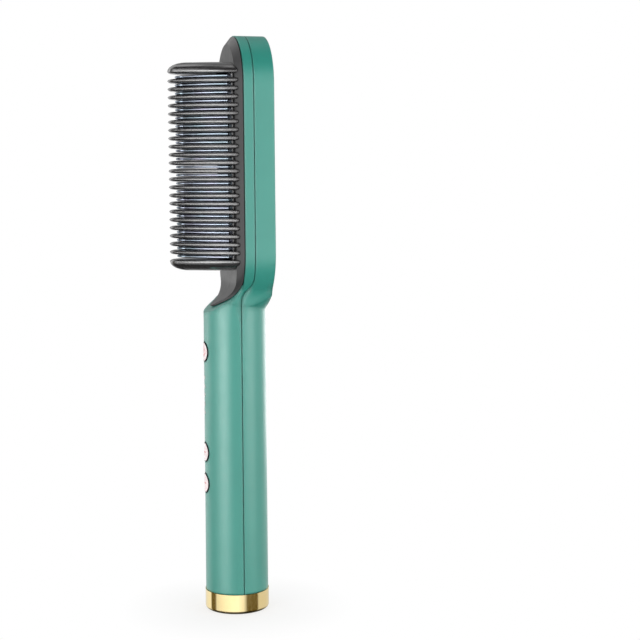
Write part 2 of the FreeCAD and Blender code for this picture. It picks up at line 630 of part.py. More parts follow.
def rib_wire(z, narrow, setback):
    """Plan outline of a rib at height z: its width times narrow, its tip drawn back by setback."""
    flat, rim = bezel_half_widths(z)
    foot = (flat + RIB_FOOT_SHARE * (rim - flat)) * narrow
    rest = PLATEAU_Y - SEAT_GAP
    fall = (RIM_EDGE_Y - PLATEAU_Y) / (rim - flat)
    foot_y = rest + max(0, foot - flat - 2 * SEAT_GAP) * fall
    knee = min(flat - SEAT_GAP, foot * 0.95)
    tip = -RIB_REACH + setback
    shoulder = (RIB_TIP_HALF * narrow, tip + RIB_TIP_ROUND)
    outer = (foot, foot_y - RIB_FOOT_HEIGHT)
    side = ((outer[0] + shoulder[0]) / 2 + RIB_BULGE * narrow, (outer[1] + shoulder[1]) / 2)
    return plan_wire({"root": [(knee, rest), (foot, foot_y), outer], "side": side,
                      "shoulder": shoulder, "tip": tip}, z)


def drawn_in(height):
    """Share of its rounding by which a rounded edge lies back at a share of its half thickness."""
    return 1 - math.sqrt(1 - height ** 2)


def rounded_half(z, outward):
    """Outlines of one half of a rib, from its flat face to just short of its widest level."""
    wires = []
    for height in ROUND_HEIGHTS:
        back = drawn_in(height)
        level = z + outward * height * RIB_THICKNESS / 2
        wires.append(rib_wire(level, 1 - back * RIB_NARROWING, back * RIB_POINT))
    return wires


def rib(z):
    wires = rounded_half(z, -1) + [rib_wire(z, 1, 0)] + rounded_half(z, 1)[::-1]
    return Part.makeLoft(wires, True, True)


def end_wall(crest, outward):
    """Thick domed wall that closes one end of the comb."""
    wires = rounded_half(crest, -outward)
    dome_steps = 6
    for step in range(dome_steps + 1):
        turn = math.pi / 2 * step / dome_steps
        narrow = END_DOME_TOP + (1 - END_DOME_TOP) * math.cos(turn)
        setback = END_DOME_LEAN * (1 - math.cos(turn))
        wires.append(rib_wire(crest + outward * END_DOME * math.sin(turn), narrow, setback))
    return Part.makeLoft(wires, True, True)


def rib_heights():
    return [FIRST_RIB + RIB_PITCH * step for step in range(RIB_COUNT)]


def guard_comb():
    low_crest = FIRST_RIB - END_STEP
    high_crest = LAST_RIB + END_STEP
    pieces = [end_wall(low_crest, -1), end_wall(high_crest, 1)]
    pieces += [rib(z) for z in rib_heights()]
    rail_in = OPENING_HALF + PLATE_GAP
    rail_back = PLATEAU_Y - SEAT_GAP
    for x in (rail_in, -rail_in - RAIL_WIDTH):
        pieces.append(block(x, x + RAIL_WIDTH, rail_back - RAIL_HEIGHT, rail_back, low_crest, high_crest))
    return joined(pieces)


# Heat comb and heater

def fin_wire(z, narrow, setback):
    tip = -RIB_REACH + FIN_SETBACK + setback
    root_half = OPENING_HALF - 2 * PLATE_GAP
    base = heat_base_front() + HEAT_BASE_THICKNESS / 2
    over_rail = PLATEAU_Y - SEAT_GAP - RAIL_HEIGHT - 2 * PLATE_GAP
    outer = (FIN_SHOULDER_HALF * narrow, over_rail - FIN_SHOULDER_RISE)
    shoulder = (FIN_TIP_HALF * narrow, tip + RIB_TIP_ROUND)
    side = ((outer[0] + shoulder[0]) / 2 + RIB_BULGE * narrow, (outer[1] + shoulder[1]) / 2)
    return plan_wire({"root": [(root_half, base), (root_half, over_rail), outer], "side": side,
                      "shoulder": shoulder, "tip": tip}, z)


def bulb_wire(z, shrink):
    """Plan outline of the rounded swelling near a fin's tip."""
    tip = -RIB_REACH + FIN_SETBACK + FIN_BULB_SETBACK + shrink
    start = -RIB_REACH + FIN_SETBACK + FIN_BULB_LENGTH - shrink
    shoulder = (FIN_TIP_HALF - FIN_BULB_HEEL - shrink / 2, tip + RIB_TIP_ROUND)
    outer = (FIN_TIP_HALF + FIN_BULB_WIDENING - shrink / 2, start)
    side = ((outer[0] + shoulder[0]) / 2 + FIN_BULB_BULGE, (outer[1] + shoulder[1]) / 2)
    root = (outer[0] - 2 * FIN_BULB_HEEL, start + FIN_BULB_HEEL)
    return plan_wire({"root": [root, outer], "side": side, "shoulder": shoulder, "tip": tip}, z)


def fin(z):
    plate = []
    bulb = []
    for height in [-share for share in ROUND_HEIGHTS] + [0] + list(ROUND_HEIGHTS[::-1]):
        back = drawn_in(height)
        plate.append(fin_wire(z + height * FIN_THICKNESS / 2, 1 - back * FIN_NARROWING, back * FIN_POINT))
        bulb.append(bulb_wire(z + height * FIN_BULB / 2, back * FIN_BULB_ROUND))
    return [Part.makeLoft(plate, True, True), Part.makeLoft(bulb, True, True)]


def heat_base_front():
    return FLANGE_FRONT - HEAT_BASE_THICKNESS


def clamp_screw_holes():
    return [rod(SCREW_RADIUS + SEAT_GAP, vec(x, 0, z), vec(x, HEAD_BACK, z)) for x, z in clamp_screw_places()]


def heat_comb():
    low = OPENING_LOW + PLATE_GAP
    high = OPENING_HIGH - PLATE_GAP
    base = rounded_plate(OPENING_HALF - PLATE_GAP, low, high, OPENING_MARGIN - PLATE_GAP,
                         heat_base_front(), FLANGE_BACK - heat_base_front())
    flange = rounded_plate(OPENING_HALF + FLANGE_LAP, OPENING_LOW - FLANGE_END, OPENING_HIGH + FLANGE_END,
                           FLANGE_CORNER, FLANGE_FRONT, FLANGE_THICKNESS)
    pieces = [base, flange]
    for step in range(RIB_COUNT + 1):
        pieces += fin(FIRST_RIB + RIB_PITCH * (step - 0.5))
    return joined(pieces).cut(clamp_screw_holes())


def heater_ends():
    return OPENING_LOW + PLATE_GAP, OPENING_HIGH - PLATE_GAP


def heater_plates():
    """Two flat ceramic heating plates, end to end."""
    low, high = heater_ends()
    middle = (low + high) / 2
    spans = [(low, middle - PLATE_GAP / 2), (middle + PLATE_GAP / 2, high)]
    plates = [block(-HEATER_HALF_WIDTH, HEATER_HALF_WIDTH, FLANGE_BACK, HEATER_BACK, a, b) for a, b in spans]
    return Part.makeCompound(plates)


def heater_film():
    low, high = heater_ends()
    half = HEATER_HALF_WIDTH + FLANGE_LAP
    return block(-half, half, HEATER_BACK, CLAMP_FRONT, low, high)


def clamp_screw_places():
    places = []
    for z in (OPENING_LOW - FLANGE_END / 2, OPENING_HIGH + FLANGE_END / 2):
        places += [(CLAMP_SCREW_SPREAD, z), (-CLAMP_SCREW_SPREAD, z)]
    return places


def clamp_plate():
    """Steel plate with legs at its screw holes that stand on the comb's flange."""
    low = OPENING_LOW - FLANGE_END + SEAT_GAP
    high = OPENING_HIGH + FLANGE_END - SEAT_GAP
    half = CLAMP_SCREW_SPREAD + 2 * SCREW_HEAD_RADIUS
    plate = rounded_plate(half, low, high, SCREW_HEAD_RADIUS, CLAMP_FRONT, CLAMP_THICKNESS)
    legs = [rod(SCREW_HEAD_RADIUS, vec(x, FLANGE_BACK, z), vec(x, CLAMP_BACK, z))
            for x, z in clamp_screw_places()]
    return joined([plate] + legs).cut(clamp_screw_holes())


def clamp_screws():
    screws = []
    for x, z in clamp_screw_places():
        tip = vec(x, PLATEAU_Y + CLAMP_SCREW_COVER + 2 * SEAT_GAP, z)
        screws.append(screw(vec(x, CLAMP_BACK + SCREW_HEAD_HEIGHT, z), tip, SCREW_HEAD_RADIUS,
                            SCREW_HEAD_HEIGHT, SCREW_RADIUS - SEAT_GAP / 2))
    return Part.makeCompound(screws)


def heat_shield():
    half = CLAMP_SCREW_SPREAD + 2 * SCREW_HEAD_RADIUS
    return rounded_plate(half, OPENING_LOW, OPENING_HIGH, FLANGE_CORNER, HEAD_INNER_BACK - SHIELD_THICKNESS,
                         SHIELD_THICKNESS)


def thermistor():
    radius = HEATER_THICKNESS * 0.4
    y = FLANGE_BACK + radius
    low = OPENING_LOW - FLANGE_END + 2 * SEAT_GAP
    return rod(radius, vec(0, y, low), vec(0, y, OPENING_LOW - SEAT_GAP))


def thermal_fuse():
    """Small axial cut-out on the clamp plate, with its wire ends."""
    radius = SCREW_HEAD_HEIGHT
    y = CLAMP_BACK + radius
    middle = COMB_MIDDLE
    length = 9 * radius
    body = rod(radius, vec(0, y, middle - length / 2), vec(0, y, middle + length / 2))
    ends = rod(THIN_LEAD_RADIUS, vec(0, y, middle - length), vec(0, y, middle + length))
    return joined([body, ends])


def case_screws():
    screws = []
    for x, z in case_screw_places():
        screws.append(screw(vec(x, RECESS_FLOOR, z), vec(x, BEZEL_BACK + POST_END_WALL + SEAT_GAP, z),
                            SCREW_HEAD_RADIUS - 2 * SEAT_GAP, SCREW_HEAD_HEIGHT - SEAT_GAP,
                            SCREW_RADIUS - SEAT_GAP / 2))
    return Part.makeCompound(screws)


# Back of the head

def trim_frame():
    back = HEAD_BACK + FRAME_PROUD
    bevel_start = back - FRAME_BEVEL_DROP
    ring = prism(capsule_wire(PANEL_MARGIN, RECESS_FLOOR), bevel_start - RECESS_FLOOR)
    bevel = Part.makeLoft([capsule_wire(PANEL_MARGIN, bevel_start),
                           capsule_wire(PANEL_MARGIN + FRAME_BEVEL, back)], True, True)
    return joined([ring, bevel]).cut(prism(capsule_wire(PANEL_MARGIN + FRAME_WIDTH, RECESS_FLOOR - 1), FAR))


def back_panel():
    inset = PANEL_MARGIN + FRAME_WIDTH + PANEL_GAP
    plate = prism(capsule_wire(inset, RECESS_FLOOR), FRAME_DEPTH * 2)
    half = HEAD_LOW_RADIUS - inset
    crown_radius = (half ** 2 + PANEL_CROWN ** 2) / (2 * PANEL_CROWN)
    top = HEAD_BACK + FRAME_PROUD
    roll = Part.makeCylinder(crown_radius, OVERALL_LENGTH * 1.2, vec(0, top - crown_radius, 0))
    return plate.common(roll)


# Buttons, lenses and switches

def button(z):
    face = handle_radius(z) + BUTTON_PROUD
    cap = rod(BUTTON_RADIUS, vec(0, -2 * face, z), vec(0, FLANGE_SEAT, z))
    cap = cap.common(Part.makeCylinder(face, 4 * BUTTON_RADIUS, vec(0, 0, z - 2 * BUTTON_RADIUS)))
    flange = rod(BUTTON_RADIUS + BUTTON_FLANGE, vec(0, FLANGE_SEAT, z), vec(0, STEM_FRONT, z))
    stem = rod(STEM_RADIUS, vec(0, STEM_FRONT, z), vec(0, STEM_BACK, z))
    return joined([cap, flange, stem])


def plunger(z):
    return rod(PLUNGER_RADIUS, vec(0, STEM_BACK, z), vec(0, SWITCH_FRONT + PLUNGER_SUNK, z))


def switch_bodies():
    half = SWITCH_SIDE / 2
    bodies = []
    for z in BUTTON_HEIGHTS.values():
        body = block(-half, half, SWITCH_FRONT, BOARD_FRONT, z - half, z + half)
        well = SWITCH_FRONT + PLUNGER_SUNK + BUTTON_TRAVEL + PLUNGER_GAP
        bore = rod(PLUNGER_RADIUS + PLUNGER_GAP, vec(0, SWITCH_FRONT - 1, z), vec(0, well, z))
        bodies.append(body.cut(bore))
    return Part.makeCompound(bodies)


def lens_heights():
    first = LENS_MIDDLE_Z - LENS_PITCH * (LENS_COUNT - 1) / 2
    return [first + LENS_PITCH * step for step in range(LENS_COUNT)]


def indicator_lenses():
    """One clear light guide: a bar behind the wall with a domed pin through each hole."""
    heights = lens_heights()
    front = -INNER_RADIUS + 3 * LENS_GAP
    half = 2 * LENS_RADIUS
    pieces = [block(-half, half, front, front + LENS_RADIUS, heights[0] - half, heights[-1] + half)]
    for z in heights:
        end = -handle_radius(z) - LENS_PROUD
        pin = rod(LENS_RADIUS, vec(0, end, z), vec(0, front, z))
        pieces.append(pin.makeFillet(LENS_PROUD, edges_at(pin, "y", end)))
    return joined(pieces)


def indicator_leds():
    leds = []
    half = LENS_RADIUS * 0.8
    for z in lens_heights():
        leds.append(block(-half, half, BOARD_FRONT - half, BOARD_FRONT, z - half / 2, z + half / 2))
    return Part.makeCompound(leds)


# Electronics in the handle

def board_screw_places():
    heights = (BOARD_LOW + BOARD_SCREW_INSET, BOARD_HIGH - BOARD_SCREW_INSET)
    return [(x, z) for z in heights for x in (BOARD_SCREW_X, -BOARD_SCREW_X)]


def control_board():
    board = block(-BOARD_HALF, BOARD_HALF, BOARD_FRONT, BOARD_BACK, BOARD_LOW, BOARD_HIGH)
    return board.cut([rod(SCREW_RADIUS + SEAT_GAP, vec(x, -FAR / 2, z), vec(x, FAR / 2, z))
                      for x, z in board_screw_places()])


def board_screws():
    screws = []
    for x, z in board_screw_places():
        screws.append(screw(vec(x, BOARD_BACK + SCREW_HEAD_HEIGHT, z), vec(x, BOARD_FRONT - SHELL_WALL, z),
                            SCREW_HEAD_RADIUS, SCREW_HEAD_HEIGHT, SCREW_RADIUS - SEAT_GAP / 2))
    return Part.makeCompound(screws)


def control_chip():
    half = SWITCH_SIDE / 2
    middle = (PLUS_BUTTON_Z + half + lens_heights()[0] - LENS_RADIUS) / 2
    return block(-half, half, BOARD_FRONT - LENS_RADIUS, BOARD_FRONT, middle - half, middle + half)


def power_transistor():
    side = SWITCH_SIDE / 2
    z = (lens_heights()[-1] + POWER_BUTTON_Z - side) / 2
    return block(side, BOARD_HALF - BOARD_EDGE_GAP, BOARD_FRONT - LENS_RADIUS, BOARD_FRONT,
                 z - side / 2, z + side / 2)


def battery_cell():
    """Slim round cell with its raised contact."""
    can = rod(BATTERY_RADIUS, vec(0, BATTERY_Y, BATTERY_FOOT), vec(0, BATTERY_Y, BATTERY_HIGH))
    rims = edges_at(can, "z", BATTERY_HIGH) + edges_at(can, "z", BATTERY_FOOT)
    return can.makeFillet(BATTERY_EDGE_ROUND, rims)


def battery_tabs():
    half = TAB_WIDTH / 2
    tabs = []
    for z in (BATTERY_FOOT - TAB_THICKNESS, BATTERY_HIGH):
        tabs.append(block(-half, half, BOARD_BACK, BATTERY_Y + BATTERY_RADIUS / 2, z, z + TAB_THICKNESS))
    return Part.makeCompound(tabs)


def battery_cradle():
    """Two end discs joined by side rails, open at the front for the board."""
    radius = INNER_RADIUS - BATTERY_WALL_GAP
    front = BATTERY_Y - BATTERY_RADIUS
    gap = TAB_THICKNESS + SEAT_GAP
    ends = [BATTERY_FOOT - gap - CRADLE_WALL, BATTERY_HIGH + gap]
    pieces = []
    for z in ends:
        disc = Part.makeCylinder(radius, CRADLE_WALL, vec(0, 0, z))
        pieces.append(disc.cut(block(-FAR, FAR, -FAR, front, -FAR, FAR)))
    rail_in = BATTERY_RADIUS + BATTERY_WALL_GAP
    for side in (1, -1):
        rail = block(min(side * rail_in, side * FAR), max(side * rail_in, side * FAR),
                     BATTERY_Y - BATTERY_RADIUS / 2, BATTERY_Y + BATTERY_RADIUS / 4,
                     ends[0], ends[1] + CRADLE_WALL)
        inside = Part.makeCylinder(radius, BATTERY_LENGTH * 3, vec(0, 0, BATTERY_FOOT - BATTERY_LENGTH))
        pieces.append(rail.common(inside))
    return joined(pieces)


def socket_body(grow, low, high):
    """Flat oval prism of the charging socket, widened by grow."""
    half = SOCKET_HEIGHT / 2 + grow
    straight = SOCKET_WIDTH / 2 - SOCKET_HEIGHT / 2
    ends = [Part.makeCylinder(half, high - low, vec(x, 0, low)) for x in (straight, -straight)]
    return joined([block(-straight, straight, -half, half, low, high)] + ends)


def charge_socket():
    """Metal shell of the socket, closed behind, with its contact tongue."""
    high = SOCKET_RECESS + SOCKET_LENGTH
    shell = socket_body(0, SOCKET_RECESS, high)
    hollow = socket_body(-SOCKET_WALL, SOCKET_RECESS - 1, high - 3 * SOCKET_WALL)
    tongue_half = SOCKET_WIDTH / 2 - 1.1
    tongue = block(-tongue_half, tongue_half, -0.35, 0.35, SOCKET_RECESS + 1.2, high - SOCKET_WALL)
    return joined([shell.cut(hollow), tongue])


def charge_board_front():
    return SOCKET_HEIGHT / 2


def charge_board_back():
    return charge_board_front() + BOARD_THICKNESS


def charge_board_top():
    return CAP_FLOOR + CAP_CLEARANCE + CHARGE_BOARD_LENGTH


def charge_board():
    return block(-CHARGE_BOARD_HALF, CHARGE_BOARD_HALF, charge_board_front(), charge_board_back(),
                 CAP_FLOOR + CAP_CLEARANCE + SOCKET_GAP, charge_board_top())


# Leads inside the casing

def lead(points, radius):
    """Round lead along straight runs joined by the largest tangent arcs that fit."""
    path = []
    start = points[0]
    for before, corner, after in zip(points, points[1:], points[2:]):
        back = before.sub(corner)
        ahead = after.sub(corner)
        half_turn = (math.pi - back.getAngle(ahead)) / 2
        reach = LEAD_CORNER_SHARE * min(back.Length, ahead.Length)
        back.normalize()
        ahead.normalize()
        bend = reach / math.tan(half_turn)
        entry = corner.add(vec(back.x, back.y, back.z).multiply(reach))
        leave = corner.add(vec(ahead.x, ahead.y, ahead.z).multiply(reach))
        inward = back.add(ahead).normalize()
        middle = corner.add(inward.multiply(bend / math.cos(half_turn) - bend))
        path += [line(start, entry), arc(entry, middle, leave)]
        start = leave
    path.append(line(start, points[-1]))
    spine = Part.Wire(path)
    ring = Part.Wire(Part.makeCircle(radius, points[0], points[1].sub(points[0])))
    return spine.makePipeShell([ring], True, False)


def neck_leads(x_top, x_low, y_top, z_top, radius):
    """A pair of leads from the head through the neck to the back of the control board."""
    behind_board = BOARD_BACK + radius + SEAT_GAP
    pair = []
    for side in (1, -1):
        pair.append(lead([vec(side * x_top, y_top, z_top), vec(side * x_top, y_top, HANDLE_TOP + 2),
                          vec(side * x_low, (y_top + behind_board) / 2, HANDLE_TOP - 8),
                          vec(side * x_low, behind_board, BOARD_HIGH - 6),
                          vec(side * x_low, behind_board, POWER_BUTTON_Z - 4)], radius))
    return Part.makeCompound(pair)


def heater_leads():
    low = heater_ends()[0]
    return neck_leads(HEATER_HALF_WIDTH / 2, 3.4, FLANGE_BACK + HEATER_THICKNESS / 2, low, LEAD_RADIUS)


def sensor_leads():
    low = OPENING_LOW - FLANGE_END + 2 * SEAT_GAP
    return neck_leads(THIN_LEAD_RADIUS + SEAT_GAP / 2, 1.2, FLANGE_BACK + HEATER_THICKNESS * 0.4, low,
                      THIN_LEAD_RADIUS)


def charge_leads():
    behind_board = BOARD_BACK + THIN_LEAD_RADIUS + SEAT_GAP
    on_charge_board = charge_board_front() - THIN_LEAD_RADIUS
    top = charge_board_top()
    pair = []
    side = TAB_WIDTH / 2 + 3 * THIN_LEAD_RADIUS
    for x in (side, -side):
        route = [vec(x, on_charge_board, top - 8), vec(x, on_charge_board, top - 2),
                 vec(x, behind_board, top + 5), vec(x, behind_board, BOARD_LOW + 5)]
        pair.append(lead(route, THIN_LEAD_RADIUS))
    return Part.makeCompound(pair)


def main():
    outside = casing_outside()
    cavity = casing_cavity()
    nodes = {
        "front_shell": front_shell(outside, cavity),
        "rear_shell": rear_shell(outside, cavity),
        "end_cap": end_cap(),
        "comb_bezel": comb_bezel(),
        "guard_comb": guard_comb(),
        "heat_comb": heat_comb(),
        "heater_plates": heater_plates(),
        "heater_film": heater_film(),
        "clamp_plate": clamp_plate(),
        "clamp_screws": clamp_screws(),
        "heat_shield": heat_shield(),
        "thermistor": thermistor(),
        "thermal_fuse": thermal_fuse(),
        "case_screws": case_screws(),
        "trim_frame": trim_frame(),
        "back_panel": back_panel(),
        "switch_bodies": switch_bodies(),
        "indicator_lenses": indicator_lenses(),
        "indicator_leds": indicator_leds(),
        "control_board": control_board(),
        "board_screws": board_screws(),
        "control_chip": control_chip(),
        "power_transistor": power_transistor(),
        "battery_cell": battery_cell(),
        "battery_tabs": battery_tabs(),
        "battery_cradle": battery_cradle(),
        "charge_socket": charge_socket(),
        "charge_board": charge_board(),
        "heater_leads": heater_leads(),
        "sensor_leads": sensor_leads(),
        "charge_leads": charge_leads(),
    }
    for name, z in BUTTON_HEIGHTS.items():
        nodes[name + "_button"] = button(z)
        nodes[name + "_plunger"] = plunger(z)
    os.makedirs("parts", exist_ok=True)
    for name, shape in nodes.items():
        print(name, shape.isValid(), len(shape.Solids), round(shape.Volume, 2))
        shape.exportStep("parts/" + name + ".step")


main()
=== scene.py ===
import math

import bpy
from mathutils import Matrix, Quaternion, Vector


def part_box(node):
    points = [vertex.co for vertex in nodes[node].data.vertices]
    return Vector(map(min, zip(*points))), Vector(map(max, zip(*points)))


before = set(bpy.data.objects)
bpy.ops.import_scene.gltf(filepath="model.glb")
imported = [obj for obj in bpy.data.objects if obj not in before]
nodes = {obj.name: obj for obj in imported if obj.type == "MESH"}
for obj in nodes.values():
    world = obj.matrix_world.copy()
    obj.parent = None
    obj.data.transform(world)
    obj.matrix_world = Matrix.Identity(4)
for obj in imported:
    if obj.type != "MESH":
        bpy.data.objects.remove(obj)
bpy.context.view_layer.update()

# Camera: it looks at the brush's side from a little in front of it and level with the comb
IMAGE_SIDE = 640
LENS = 83.12
SENSOR = 36.0
NEAREST_SEEN = 0.01
AXIS_DISTANCE = 0.68          # level distance from the camera to the handle's axis
EYE_HEIGHT = 0.205
AIM_HEIGHT = 0.1353           # the picture's middle row meets the handle's axis here
FRONT_TURN = math.radians(12.5)
AXIS_LEFT_PIXELS = 85.95      # the handle's axis stands this far left of the picture's middle
ROLL = math.radians(0.25)
TOWARDS_CAMERA = Vector((math.cos(FRONT_TURN), -math.sin(FRONT_TURN), 0))
CAMERA_RIGHT = Vector((math.sin(FRONT_TURN), math.cos(FRONT_TURN), 0))

# Floor and light
BRUSH_MIDDLE = Vector((0, 0, 0.14))
FLOOR_SIDE = 40.0
FLOOR_DROP = 0.0002           # keeps the floor clear of the foot's flat face
FLOOR_WHITE = (0.9, 0.9, 0.9)
SHADOW_NEAR = 0.015           # the shadow fades out between these distances from the handle's axis
SHADOW_FAR = 0.055
SHADOW_VEIL = 0.75            # share of plain white over the shadow where it is strongest
PLAIN_LIGHT = 0.45            # strength of the room's even light
WHITE = (1.0, 1.0, 1.0)
BLACK = (0.0, 0.0, 0.0)

# Room in the reflections: brightness or colour by bearing in degrees from the camera's direction
DARK_BROWN = (0.13, 0.095, 0.025)
WARM_GREY = (0.72, 0.68, 0.60)
COMB_BELT = ((-180, 0.4), (-128, 0.5), (-112, 0.2), (-86, 0.25), (-74, 1.7), (-36, 1.9), (-26, 0.6),
             (-4, 0.6), (4, 1.0), (100, 1.0), (180, 0.5))
HANDLE_BELT = ((-180, 1.2), (-96, 1.4), (-64, 2.4), (-32, 2.4), (-6, 0.7), (8, 0.8), (18, 1.5), (56, 1.3),
               (80, 0.8), (180, 0.9))
CAP_BELT = ((-180, 0.75), (-112, 1.0), (-106, DARK_BROWN), (-86, DARK_BROWN), (-80, 0.85), (-18, 1.3),
            (4, 1.3), (28, 0.85), (36, DARK_BROWN), (78, DARK_BROWN), (84, WARM_GREY), (180, 0.75))
HIGH_BEHIND = ((-180, 0.3), (-166, 0.3), (-158, 1.0), (-125, 1.0), (-100, 0.0), (100, 0.0), (125, 0.3),
               (180, 0.3))
COMB_TO_HANDLE = (-0.07, -0.12)   # heights of the direction between which one belt gives way to the next
HANDLE_TO_CAP = (-0.20, -0.25)
HIGH_START = (0.22, 0.38)
STEEPNESS = ((0.0, 1.0), (0.32, 1.0), (0.62, 0.07), (1.0, 0.07))   # brightness by height or depth

# Colours, linear: a light and a deep tone of each
CASING_GREEN = ((0.012, 0.282, 0.220), (0.008, 0.256, 0.198))
PANEL_GREEN = ((0.004, 0.125, 0.085), (0.003, 0.110, 0.075))
GOLD = ((1.0, 0.84, 0.48), (0.95, 0.76, 0.38))
BEZEL_GREY = ((0.046, 0.046, 0.047), (0.034, 0.034, 0.035))
GUARD_BLACK = ((0.012, 0.011, 0.012), (0.022, 0.020, 0.021))
BUTTON_PALE = ((0.95, 0.86, 0.86), (0.93, 0.72, 0.73))
LENS_CLEAR = ((0.86, 0.90, 0.88), (0.80, 0.86, 0.84))
STEEL = ((0.62, 0.62, 0.64), (0.50, 0.50, 0.52))
BOARD_GREEN = ((0.02, 0.21, 0.08), (0.01, 0.15, 0.06))
CHIP_BLACK = ((0.02, 0.02, 0.02), (0.03, 0.03, 0.03))
PART_WHITE = ((0.85, 0.85, 0.82), (0.78, 0.78, 0.75))
CERAMIC = ((0.86, 0.85, 0.80), (0.78, 0.77, 0.72))
FILM_AMBER = ((0.55, 0.28, 0.05), (0.45, 0.21, 0.04))
FIBRE_WHITE = ((0.75, 0.74, 0.70), (0.66, 0.65, 0.60))
BEAD_BROWN = ((0.35, 0.16, 0.06), (0.26, 0.11, 0.04))
LEAD_RED = ((0.55, 0.05, 0.04), (0.45, 0.04, 0.03))
CELL_BLUE = ((0.05, 0.16, 0.42), (0.04, 0.12, 0.34))

# Colours used alone, linear
# painted reflection on the back panel's long sides
PANEL_PAINTED_REFLECTION = (0.090, 0.270, 0.195)
# painted highlight and painted shade of the champagne trim, on either side of its own tan
CHAMPAGNE_PAINTED_HIGHLIGHT = (0.94, 0.87, 0.82)
CHAMPAGNE = (0.68, 0.55, 0.39)
CHAMPAGNE_PAINTED_SHADE = (0.46, 0.27, 0.08)
FIN_BLUE = (0.44, 0.49, 0.59)
FIN_VIOLET = (0.44, 0.42, 0.54)
FIN_TEAL = (0.35, 0.47, 0.52)
BUTTON_RIM = (0.012, 0.014, 0.014)
ICON_RED = (0.70, 0.10, 0.11)

# Patterns: scales are in features for each metre, depths and radii in metres
DRIFT_SCALE = 38.0
GLOSS_SCALE = 240.0
SOFT_DETAIL = 3.0
FINE_DETAIL = 2.0
GRAIN_DEPTH = 0.00005
FINE_DEPTH = 0.00004
LINE_DEPTH = 0.00003
EDGE_SAMPLES = 6
CASING_EDGE_ROUND = 0.0012
NECK_HEIGHT = 0.145           # the neck meets the handle here
NECK_EDGE_ROUND = 0.0050      # the crease at the neck looks softer than the casing's other edges
NECK_NEAR = 0.004             # between these distances from the neck the softness changes
NECK_FAR = 0.011
GUARD_EDGE_ROUND = 0.0009
FIN_EDGE_ROUND = 0.0004
PANEL_REFLECTION_FROM = 0.45        # shares of the panel's half width between which the painted reflection pales it
PANEL_REFLECTION_TO = 0.90
CREST_HIGHLIGHT_START = 0.020           # painted highlight: the frame's top pales between these distances from its highest point
CREST_HIGHLIGHT_END = 0.002

# Signs on the buttons
ICON_HALF_LINE = 0.00026
ICON_REACH = 0.0017
RING_OPENING = 3.2 * ICON_HALF_LINE
STEM_FOOT = 0.0002
STEM_TOP = 1.35 * ICON_REACH
RIM_INSIDE = 0.00408          # the dark line round a button's face begins and is full at these radii
RIM_FULL = 0.00418


def add_camera():
    camera = bpy.data.objects.new("camera", bpy.data.cameras.new("camera"))
    bpy.context.scene.collection.objects.link(camera)
    camera.data.lens = LENS
    camera.data.sensor_width = SENSOR
    camera.data.sensor_fit = "HORIZONTAL"
    camera.data.clip_start = NEAREST_SEEN
    aside = math.atan(AXIS_LEFT_PIXELS / (LENS / SENSOR * IMAGE_SIDE))
    ahead = CAMERA_RIGHT * math.sin(aside) - TOWARDS_CAMERA * math.cos(aside)
    dip = math.atan((EYE_HEIGHT - AIM_HEIGHT) / AXIS_DISTANCE)
    forward = ahead * math.cos(dip) - Vector((0, 0, math.sin(dip)))
    camera.location = TOWARDS_CAMERA * (AXIS_DISTANCE / math.cos(aside)) + Vector((0, 0, EYE_HEIGHT))
    camera.rotation_mode = "QUATERNION"
    camera.rotation_quaternion = forward.to_track_quat("-Z", "Y") @ Quaternion((0, 0, 1), -ROLL)
    bpy.context.scene.camera = camera


def colour_out(node):
    """The colour output of a mix node, which also has hidden outputs for other kinds of value."""
    return next(out for out in node.outputs if out.type == "RGBA")


class Nodes:
    """A node tree with short ways to add nodes and join them."""

    def __init__(self, tree):
        self.tree = tree

    def add(self, kind, **settings):
        made = self.tree.nodes.new(kind)
        for name, value in settings.items():
            setattr(made, name, value)
        return made

    def feed(self, socket, value):
        """Joins an output to a socket, or sets a plain value or a colour on it."""
        if isinstance(value, bpy.types.NodeSocket):
            self.tree.links.new(value, socket)
        elif socket.type == "RGBA":
            socket.default_value = (*value, 1.0)
        else:
            socket.default_value = value

    def math(self, operation, *values):
        made = self.add("ShaderNodeMath", operation=operation)
        for socket, value in zip(made.inputs, values):
            self.feed(socket, value)
        return made.outputs[0]

    def spread(self, value, low=0.0, high=1.0, start=0.3, end=0.7, kind="LINEAR"):
        """Spreads the part of a value between start and end over the range from low to high."""
        ranged = self.add("ShaderNodeMapRange", interpolation_type=kind)
        self.feed(ranged.inputs["Value"], value)
        ranged.inputs["From Min"].default_value = start
        ranged.inputs["From Max"].default_value = end
        ranged.inputs["To Min"].default_value = low
        ranged.inputs["To Max"].default_value = high
        return ranged.outputs["Result"]

    def mix(self, share, first, second, kind="MIX"):
        mixed = self.add("ShaderNodeMix", data_type="RGBA", blend_type=kind)
        self.feed(mixed.inputs["Factor"], share)
        self.feed(mixed.inputs["A"], first)
        self.feed(mixed.inputs["B"], second)
        return colour_out(mixed)

    def either(self, share, first, second):
        """The first shader, giving way to the second as the share grows."""
        mixed = self.add("ShaderNodeMixShader")
        for socket, value in zip(mixed.inputs, (share, first, second)):
            self.feed(socket, value)
        return mixed.outputs[0]


